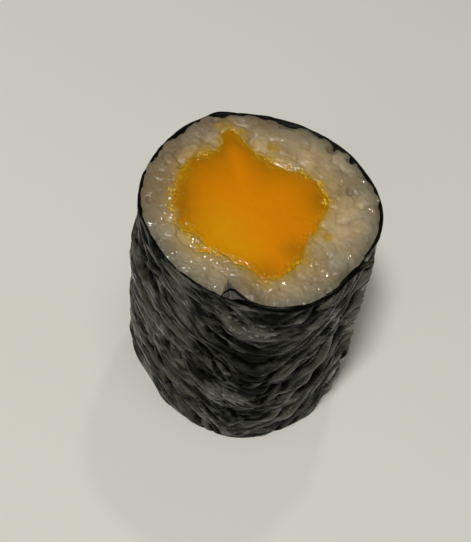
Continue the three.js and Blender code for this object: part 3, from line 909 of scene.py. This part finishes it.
# %% Scatter the pulp
PULP = [(44, 9, 6), (28, 5, 2), (112, 4, 2), (142, 10, 3), (183, 8, 4), (219, 5, 2), (243, 10, 7)]
PULP += [(291, 5, 1), (331, 7, 2), (70, 12, 3)]
PULP_SIZE = (0.08, 0.21)
SUNK_BY = 0.55  # the middle of a ball lies this share of its half height under the surface
shape = bmesh.new()
bmesh.ops.create_icosphere(shape, subdivisions=2, radius=1.0)
ball_points = np.array([vertex.co for vertex in shape.verts])
ball_faces = np.array([[vertex.index for vertex in face.verts] for face in shape.faces])
shape.free()

after_rice = [tuple(corner + len(rice_points) for corner in face) for face in flesh_faces]
cut_points = np.concatenate([rice_points, flesh_points]).tolist()
cut_surface = BVHTree.FromPolygons(cut_points, rice_faces + after_rice)
random = np.random.default_rng(61)
lumps, lump_tones = [], []
for middle_angle, spread, count in PULP:
    for angle in np.radians(random.normal(middle_angle, spread, count)):
        spoke = int(round(angle / (2 * math.pi) * SPOKES)) % SPOKES
        away = mango_edge[1][spoke] + random.normal(0.0, 0.3)
        group = middle_at(1) + away * np.array([math.cos(angle), math.sin(angle)])
        group_tone, group_size = random.uniform(), random.uniform(*PULP_SIZE)
        for _ in range(random.integers(2, 6)):
            x, y = group + random.normal(0, 0.22, 2)
            seat = cut_surface.ray_cast(Vector((x, y, HEIGHT + 5)), Vector((0, 0, -1)))[0]
            half_sizes = group_size * random.uniform(0.7, 1.3, 3) * (1.2, 1.2, 0.8)
            dented = ball_points * (1 + 0.12 * random.normal(0, 1, (len(ball_points), 1)))
            lump = np.array(seat) + dented * half_sizes - (0, 0, SUNK_BY * half_sizes[2])
            lumps.append(np.minimum(lump, (FAR, FAR, TALLEST)))
            lump_tones.append(np.full(len(ball_points), group_tone))
pulp_faces = [face for n in range(len(lumps)) for face in (ball_faces + n * len(ball_points)).tolist()]
pulp_values = {"tone": np.concatenate(lump_tones)}
pulp = make_piece("mango_pulp", np.concatenate(lumps), pulp_faces, None, pulp_values)

# %% [markdown]
# ## Materials
#
# A small class keeps the shader maths readable. It wraps a socket, so that `1 - wet` or
# `noise * 0.5 + 0.2` adds the Math nodes behind the scenes. Any other node comes from one method.


# %% Sockets that can be added and multiplied
class Wire:
    """A socket of a material that takes part in sums with other sockets and with plain numbers."""

    def __init__(self, material, socket):
        self.material = material
        self.socket = socket

    def sum(self, operation, *values):
        return self.material.node("ShaderNodeMath", {"operation": operation}, dict(enumerate(values)))

    def __add__(self, other):
        return self.sum("ADD", self, other)

    def __sub__(self, other):
        return self.sum("SUBTRACT", self, other)

    def __rsub__(self, other):
        return self.sum("SUBTRACT", other, self)

    def __mul__(self, other):
        return self.sum("MULTIPLY", self, other)

    def __pow__(self, other):
        return self.sum("POWER", self, other)

    def limited(self):
        return self.material.node("ShaderNodeClamp", {}, {"Value": self})

    __radd__ = __add__
    __rmul__ = __mul__


def opaque(color):
    """Three numbers with their alpha; a wire stays as it is."""
    return color if isinstance(color, Wire) else (*color, 1)


class Finish:
    """A material whose fixed values are set on the shader, and whose varying ones are wired."""

    def __init__(self, name, fixed):
        self.data = bpy.data.materials.new(name)
        self.data.use_nodes = True
        self.tree = self.data.node_tree
        self.shader = self.tree.nodes["Principled BSDF"]
        for key, value in fixed.items():
            self.shader.inputs[key].default_value = value

    def feed(self, socket, value):
        if isinstance(value, Wire):
            self.tree.links.new(value.socket, socket)
        else:
            socket.default_value = value

    def node(self, kind, settings, inputs, output=0):
        made = self.tree.nodes.new(kind)
        for key, value in settings.items():
            setattr(made, key, value)
        for key, value in inputs.items():
            self.feed(made.inputs[key], value)
        return Wire(self, made.outputs[output])

    def value(self, name, kind="Fac"):
        return self.node("ShaderNodeAttribute", {"attribute_name": name}, {}, kind)

    def noise(self, size_mm, detail=2.0, roughness=0.5, vector=None):
        inputs = {"Scale": 1 / (size_mm * MM), "Detail": detail, "Roughness": roughness}
        inputs["Vector"] = vector or self.node("ShaderNodeTexCoord", {}, {}, "Object")
        return self.node("ShaderNodeTexNoise", {}, inputs)

    def colors(self, low, *layers):
        """A colour with others laid over it in turn, each by its own share."""
        for high, share in layers:
            inputs = {0: share, 6: opaque(low), 7: opaque(high)}
            low = self.node("ShaderNodeMix", {"data_type": "RGBA"}, inputs, 2)
        return low

    def bump(self, height, distance_mm):
        inputs = {"Height": height, "Distance": distance_mm * MM}
        self.wire("Normal", self.node("ShaderNodeBump", {}, inputs))

    def wire(self, key, value):
        self.feed(self.shader.inputs[key], value)

    def lose_light(self, color, share):
        """Where the share is 1 the surface neither shines nor scatters much."""
        fixed = {"Base Color": opaque(color), "Specular IOR Level": 0.0, "Roughness": 1.0}
        dull = self.node("ShaderNodeBsdfPrincipled", {}, fixed)
        shaders = {0: share, 1: Wire(self, self.shader.outputs[0]), 2: dull}
        mixed = self.node("ShaderNodeMixShader", {}, shaders)
        self.feed(self.tree.nodes["Material Output"].inputs["Surface"], mixed)

    def put_on(self, piece):
        piece.data.materials.clear()
        piece.data.materials.append(self.data)
        print("the finish of", piece.name, "has", len(self.tree.nodes), "nodes")


# %% [markdown]
# ### Nori
#
# Almost black, with a green that shows where the sheet is thin and damp. Two things make it look
# like seaweed and not like plastic: a fine fibrous grain that breaks up the shine, and a shine that
# differs from facet to facet, since some are wet and some are darker and matte. Painted highlights
# lie on the ridges and the last edge, painted glints in the wet places, and painted shade in the
# crevices, hollows, darker facets and dull places.

# %% Finish the nori
nori_finish = Finish("nori", {"IOR": 1.42, "Coat Roughness": 0.12, "Coat IOR": 1.4})
on_sheet = nori_finish.value("sheet_place", "Vector")
slow_noise = {"Vector": on_sheet, "Scale": 0.3, "Detail": 2.0}
bend = nori_finish.node("ShaderNodeTexNoise", {}, slow_noise, "Color")
bending = {0: bend, 1: (2.4, 1.6, 0.0), 2: on_sheet}
bent = nori_finish.node("ShaderNodeVectorMath", {"operation": "MULTIPLY_ADD"}, bending)


def along_sheet(length, width):
    """The place on the sheet, counted in cells of this size in millimetres."""
    sizes = {"Vector": bent, "Scale": (1 / length, 1 / width, 1.0)}
    return nori_finish.node("ShaderNodeMapping", {}, sizes)


def cracks(length, width, sharp):
    feature = {"feature": "DISTANCE_TO_EDGE", "voronoi_dimensions": "2D"}
    cell = {"Vector": along_sheet(length, width), "Scale": 1.0}
    edge_distance = nori_finish.node("ShaderNodeTexVoronoi", feature, cell, "Distance")
    return (1 - edge_distance * sharp).limited()


def crinkles(length, width):
    inputs = {"Vector": along_sheet(length, width), "Scale": 1.0, "Detail": 3.0, "Roughness": 0.6}
    return nori_finish.node("ShaderNodeTexNoise", {}, inputs)


grain = nori_finish.noise(0.16, 3.0, 0.6)
patches = nori_finish.noise(3.2, 3.0, 0.55)
facet_tone = nori_finish.value("leaf_tone")
painted_shade_value = nori_finish.value("painted_shade")
deep_crack = cracks(3.4, 1.1, 9.0) * ((crinkles(5.0, 2.5) - 0.42) * 6.0).limited()
fine_crack = cracks(1.6, 0.6, 7.0) * ((crinkles(4.0, 2.0) - 0.45) * 6.0).limited()
shine_value = nori_finish.value("shine")
# facet tone and patches, with painted light: lighter in the wet places and darker in the dull ones
shade = (patches * 0.6 + facet_tone * 1.7 + shine_value * 0.2 - 0.88).limited()
# painted highlight: the sheet is lighter and more olive near its last edge
last_edge_highlight = (patches * 2.0 + 0.2 - nori_finish.value("to_end") * 0.9).limited()
ridge_highlight_value = nori_finish.value("ridge_highlight")
# painted glints: pale flecks in the wet places, where the sheet sparkles
painted_glints = ((crinkles(0.7, 0.35) - 0.55) * 9.0).limited() * shine_value.limited()
leaf = nori_finish.colors(
    (0.003, 0.004, 0.0028),
    ((0.040, 0.041, 0.018), shade),
    # painted highlight along the last edge
    ((0.085, 0.079, 0.034), last_edge_highlight * 0.8),
    # painted highlight on the ridges
    ((0.09, 0.088, 0.068), ridge_highlight_value * (patches * 3.0 - 1.1).limited()),
    # painted glints
    ((0.30, 0.285, 0.26), (painted_glints * 0.8).limited()),
)
nori_finish.wire("Base Color", leaf)
nori_finish.wire("Roughness", (0.18 + patches * 0.14 + facet_tone * 0.12 + grain * 0.1).limited())
wet = ((patches * 0.4 + facet_tone * 0.9 + shine_value * 0.25 - 0.67) * 4.0).limited()
nori_finish.wire("Coat Weight", wet)
fine_share = patches * 1.1 - 0.1 + shine_value.limited() * 2.0
fine_relief = crinkles(1.1, 0.7) * fine_share + grain * 0.3
nori_finish.bump(fine_relief - deep_crack * 0.35 - fine_crack * 0.3, 0.17)
# painted shade in part: low-toned facets and dull places are darkened and lose their shine, standing in
# for the shadows of folds, and so are crevices and cracks, less so on lit ridges and the last edge
shade_and_matte = ((0.71 - patches * 0.3 - facet_tone * 0.85 - shine_value * 0.3) * 3.2).limited()
bright = ridge_highlight_value * 0.4 + last_edge_highlight * 0.4
shade_and_dull_share = (painted_shade_value + deep_crack * 0.2 + shade_and_matte * 0.85 - bright).limited()
nori_finish.lose_light((0.003, 0.003, 0.002), shade_and_dull_share)
nori_finish.put_on(nori)

# %% [markdown]
# ### Rice
#
# Cooked rice is neither white nor matt: it is a wet, cloudy jelly. Light goes in, wanders and comes
# out warmer, so the material has some subsurface scattering, held constant. Single grains differ a
# little in tone, crevices get a darker, warmer painted shade, and juice has stained the rice near
# the fruit.
# Towards the nori the rice darkens, and in the wedge by the tucked edge it is nearly black.

# %% Finish the rice
RICE_FIXED = {
    "Subsurface Weight": 0.6,
    "Subsurface Radius": (1.0, 0.8, 0.55),
    "Subsurface Scale": 0.6 * MM,
    "IOR": 1.38,
    "Coat Roughness": 0.05,
    "Coat IOR": 1.45,
}
rice_finish = Finish("rice", RICE_FIXED)
tone = rice_finish.value("tone")
stain = rice_finish.value("stain")
relief = rice_finish.value("relief")
cloudy = rice_finish.noise(1.6, 3.0, 0.6)
specks = rice_finish.noise(0.35, 2.0, 0.5)
tint = rice_finish.value("tint")
from_nori = rice_finish.value("rim")
mixed_up = rice_finish.noise(2.2, 2.0)
hue = (0.15 + from_nori * 0.24 + (mixed_up - 0.5) * 2.6).limited()
pale = tone * 0.45 + cloudy * 1.3 - 0.48 + tint * 0.34
greyer = rice_finish.colors((0.215, 0.18, 0.115), ((0.43, 0.375, 0.255), pale.limited()))
warmer = rice_finish.colors((0.25, 0.18, 0.09), ((0.49, 0.37, 0.195), pale.limited()))
near_nori = (1.15 - from_nori * (0.9 - cloudy * 0.9)).limited()
juice = rice_finish.colors((0.50, 0.28, 0.012), ((0.33, 0.22, 0.03), cloudy))
grain_color = rice_finish.colors(
    greyer,
    (warmer, hue),
    ((0.14, 0.13, 0.085), near_nori**2 * 0.75),
    ((0.20, 0.13, 0.065), (0 - tint * 0.6).limited()),
    # painted shade: darker and warmer where the rice lies low, in crevices and hollows
    ((0.14, 0.10, 0.055), (relief * -2.0 - 0.75).limited()),
    (juice, (stain * 1.35 - 0.1).limited()),
    ((0.050, 0.046, 0.052), rice_finish.value("tuck") * 0.85),
)
rice_finish.wire("Base Color", grain_color)
rice_finish.wire("Roughness", (0.40 + specks * 0.25).limited())
rice_finish.wire("Coat Weight", (0.4 + cloudy * 0.9 + stain * 0.5 - 0.2).limited())
rice_finish.bump(specks + rice_finish.noise(0.14, 2.0) * 0.7, 0.04)
rice_finish.put_on(rice)

# %% [markdown]
# ### Mango
#
# The flesh is a deep yellow orange, paler at the front left, and darkened by painted shade in its
# corners, towards its outline and towards the back. Fine fibres run through it. Along the rim it is
# thin, olive and wet with juice, and the olive is partly painted shade where the edge dips. The
# middle of the cut hardly shines.

# %% Finish the mango
MANGO_FIXED = {
    "Subsurface Weight": 0.30,
    "Subsurface Radius": (1.0, 0.45, 0.08),
    "Subsurface Scale": 0.5 * MM,
    "IOR": 1.34,
    "Specular IOR Level": 0.08,
    "Coat Roughness": 0.05,
    "Coat IOR": 1.45,
}
mango_finish = Finish("mango", MANGO_FIXED)
edge = mango_finish.value("edge")
spot = mango_finish.node("ShaderNodeTexCoord", {}, {}, "Object")
soft = mango_finish.noise(7.0, 3.0, 0.5)
stretched = {"Vector": spot, "Rotation": (0.0, 0.0, 0.6), "Scale": (1.0, 0.22, 1.0)}
fibres = mango_finish.noise(0.8, 3.0, 0.6, mango_finish.node("ShaderNodeMapping", {}, stretched))
granules = mango_finish.noise(0.45, 2.0, 0.6)
patchy = mango_finish.noise(2.4, 2.0)
# the olive rim is partly painted shade where the edge dips, and partly the colour of thin, juicy flesh
rim = (edge * 0.8 + 0.8 + (patchy - 0.5) * 3.2).limited()
lighter = ((granules - 0.5) * 5.0 + 0.3).limited()
olive = mango_finish.colors((0.37, 0.20, 0.004), ((0.60, 0.33, 0.006), lighter))
flesh_color = mango_finish.colors(
    (0.73, 0.25, 0.0004),
    ((0.71, 0.215, 0.0004), soft),
    ((0.71, 0.30, 0.001), (mango_finish.value("paler") * 1.1).limited()),
    # painted shade towards the outline, the back and the corners
    ((0.38, 0.15, 0.0005), mango_finish.value("mango_shade")),
    (olive, (rim**1.5 * (0.3 + soft)).limited()),
)
mango_finish.wire("Base Color", flesh_color)
mango_finish.wire("Roughness", (0.34 + fibres * 0.15).limited())
at_edge = (edge * 0.7 + 1.0).limited()
mango_finish.wire("Coat Weight", (at_edge * 0.6 + 0.01).limited())
mango_finish.bump(fibres * 0.3 + soft * 0.5 + granules * at_edge * 3.0, 0.045)
mango_finish.put_on(flesh)

pulp_finish = Finish("pulp", {"IOR": 1.4, "Roughness": 0.3, "Coat Roughness": 0.06, "Coat Weight": 0.6})
lump_color = pulp_finish.colors((0.60, 0.29, 0.002), ((0.68, 0.42, 0.03), pulp_finish.value("tone")))
pulp_finish.wire("Base Color", lump_color)
pulp_finish.bump(pulp_finish.noise(0.15, 2.0), 0.03)
pulp_finish.put_on(pulp)

# %% [markdown]
# ## Floor and light
#
# The piece stands on a plain pale floor. In the photo most light falls steeply from the front
# left, so the only shadow is a short soft one behind the right side. A wide weak light overhead
# and another low in front fill it in, and a small one behind gives the tiny sparkles on wet rice.

# %% Lay the floor
FLOOR_HALF = 600.0
floor_mesh = bpy.data.meshes.new("floor")
corners = [(-1, -1, 0), (1, -1, 0), (1, 1, 0), (-1, 1, 0)]
floor_mesh.from_pydata([Vector(c) * FLOOR_HALF * MM for c in corners], [], [(0, 1, 2, 3)])
floor = bpy.data.objects.new("floor", floor_mesh)
bpy.context.scene.collection.objects.link(floor)
floor_finish = Finish("floor", {"Specular IOR Level": 0.1, "Roughness": 0.8})
wide = floor_finish.noise(60.0, 2.0)
floor_finish.wire("Base Color", floor_finish.colors((0.74, 0.73, 0.66), ((0.77, 0.76, 0.70), wide)))
floor_finish.put_on(floor)


# %% Set the lights
def area_light(name, azimuth, elevation, distance, size, power, color):
    """A square light that looks at the piece; azimuth is counted from +X towards +Y, in degrees."""
    data = bpy.data.lights.new(name, "AREA")
    data.size = size * MM
    data.energy = power
    data.color = color
    turn, rise = math.radians(azimuth), math.radians(elevation)
    way = Vector((math.cos(rise) * math.cos(turn), math.cos(rise) * math.sin(turn), math.sin(rise)))
    light = bpy.data.objects.new(name, data)
    light.location = (Vector((0, 0, HEIGHT / 2)) + way * distance) * MM
    light.rotation_euler = way.to_track_quat("Z", "Y").to_euler()
    bpy.context.scene.collection.objects.link(light)
    print("light", name, "of", power, "W")


area_light("window", 245, 68, 600, 90, 2.26, (1.0, 0.99, 0.965))
area_light("ceiling", 290, 85, 600, 170, 0.40, (1.0, 0.99, 0.965))
area_light("wall", 250, 32, 700, 420, 0.25, (1.0, 0.98, 0.95))
area_light("lamp", 88, 64.5, 600, 34, 0.26, (1.0, 0.98, 0.94))
world = bpy.data.worlds.new("room")
world.use_nodes = True
world.node_tree.nodes["Background"].inputs["Color"].default_value = (1.0, 0.99, 0.955, 1)
world.node_tree.nodes["Background"].inputs["Strength"].default_value = 0.05
bpy.context.scene.world = world
bpy.context.scene.view_settings.view_transform = "Standard"
